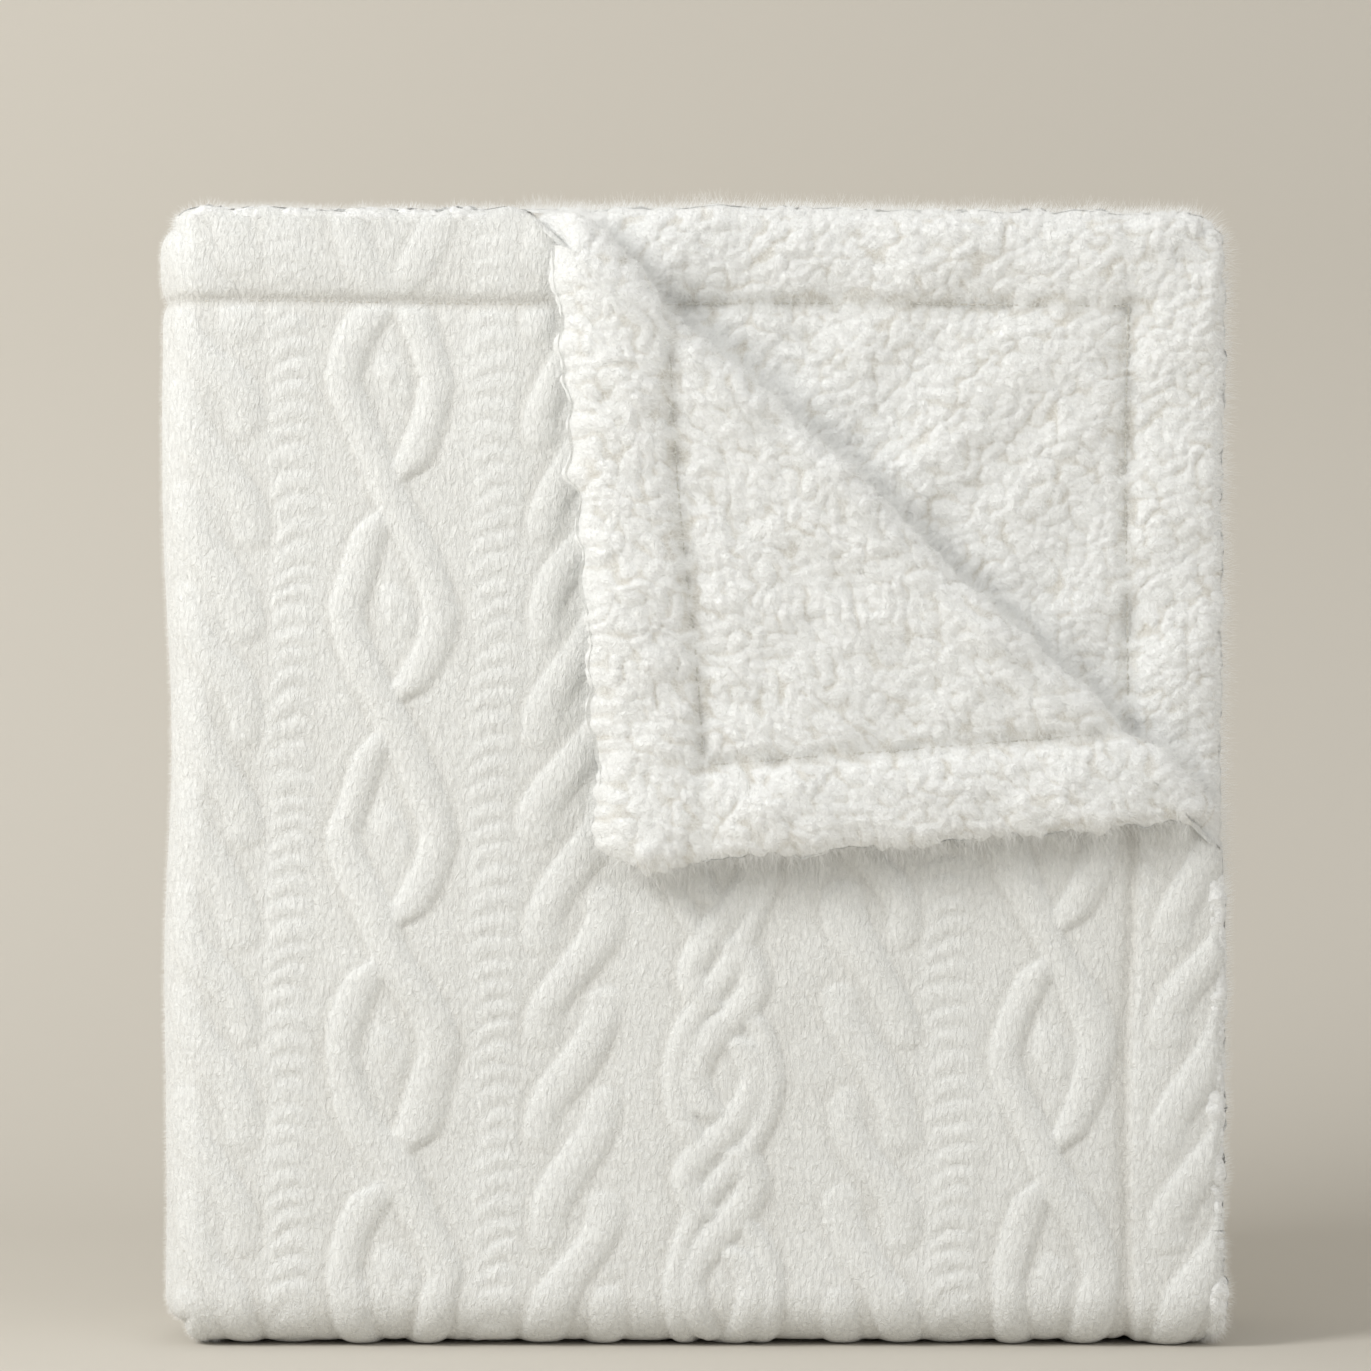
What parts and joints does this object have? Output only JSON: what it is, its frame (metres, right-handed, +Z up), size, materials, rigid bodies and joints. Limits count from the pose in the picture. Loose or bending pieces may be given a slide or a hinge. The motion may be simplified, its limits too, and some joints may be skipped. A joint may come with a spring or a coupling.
{
  "type": "folded throw blanket",
  "caption": "Folded plush throw blanket with an embossed cable-knit face, a curly lining and one top corner turned down.",
  "frame": {"origin": "middle of the base, on the surface the folded throw stands on", "axes": "+X to the right along the lower fold, +Y from the front section to the back section, +Z up"},
  "size_m": [0.405, 0.1182, 0.433],
  "materials": {
    "face_cloth": "short-pile embossed fleece, matt with a soft sheen",
    "lining_cloth": "curly long-pile fleece, matt",
    "thread": "twisted polyester thread, matt"
  },
  "bodies": {
    "middle_section": {"middle_ply_1_face": "face_cloth", "middle_ply_1_lining": "lining_cloth", "middle_ply_2_lining": "lining_cloth", "middle_ply_2_face": "face_cloth", "middle_ply_3_face": "face_cloth", "middle_ply_3_lining": "lining_cloth", "middle_ply_4_lining": "lining_cloth", "middle_ply_4_face": "face_cloth", "middle_left_fold_face": "face_cloth", "middle_left_fold_lining": "lining_cloth", "middle_inner_fold_lining": "lining_cloth", "middle_right_fold_face": "face_cloth", "bottom_fold_foot": "face_cloth", "bottom_fold_face": "face_cloth", "bottom_fold_lining": "lining_cloth", "bottom_fold_inner_face": "face_cloth", "bottom_fold_inner_lining": "lining_cloth", "bottom_fold_core": "face_cloth", "top_fold_face": "face_cloth", "top_fold_lining": "lining_cloth", "top_fold_inner_face": "face_cloth", "top_fold_inner_lining": "lining_cloth", "top_fold_core": "face_cloth"},
    "front_section": {"front_ply_1_face": "face_cloth", "front_ply_1_lining": "lining_cloth", "front_ply_2_lining": "lining_cloth", "front_ply_2_face": "face_cloth", "front_ply_3_face": "face_cloth", "front_ply_3_lining": "lining_cloth", "front_ply_4_lining": "lining_cloth", "front_ply_4_face": "face_cloth", "front_left_fold_face": "face_cloth", "front_left_fold_lining": "lining_cloth", "front_inner_fold_lining": "lining_cloth", "front_right_fold_face": "face_cloth", "flap_crease_fold": "lining_cloth", "front_hem_stitch": "thread", "corner_hem_stitch": "thread"},
    "corner_flap": {"flap_lining": "lining_cloth", "flap_face": "face_cloth", "flap_hem_stitch": "thread"},
    "back_section": {"back_ply_1_face": "face_cloth", "back_ply_1_lining": "lining_cloth", "back_ply_2_lining": "lining_cloth", "back_ply_2_face": "face_cloth", "back_ply_3_face": "face_cloth", "back_ply_3_lining": "lining_cloth", "back_ply_4_lining": "lining_cloth", "back_ply_4_face": "face_cloth", "back_left_fold_face": "face_cloth", "back_left_fold_lining": "lining_cloth", "back_inner_fold_lining": "lining_cloth", "back_right_fold_face": "face_cloth", "back_hem_stitch": "thread"}
  },
  "joints": [
    {"name": "front_section_lay_down", "type": "hinge", "parent": "middle_section", "child": "front_section", "pos_m": [0, -0.0135, 0.0458], "axis": [1, 0, 0], "range_deg": [0, 90], "deforming": ["bottom_fold_face", "bottom_fold_lining", "bottom_fold_inner_face", "bottom_fold_inner_lining", "bottom_fold_core"]},
    {"name": "corner_flap_open", "type": "hinge", "parent": "front_section", "child": "corner_flap", "pos_m": [0.07188, -0.0499, 0.3109], "axis": [-0.7331, 0, 0.6801], "range_deg": [0, 175], "deforming": ["flap_crease_fold"]},
    {"name": "back_section_lift", "type": "hinge", "parent": "middle_section", "child": "back_section", "pos_m": [0, 0.0229, 0.3968], "axis": [1, 0, 0], "range_deg": [0, 90], "deforming": ["top_fold_face", "top_fold_lining", "top_fold_inner_face", "top_fold_inner_lining", "top_fold_core"]}
  ]
}
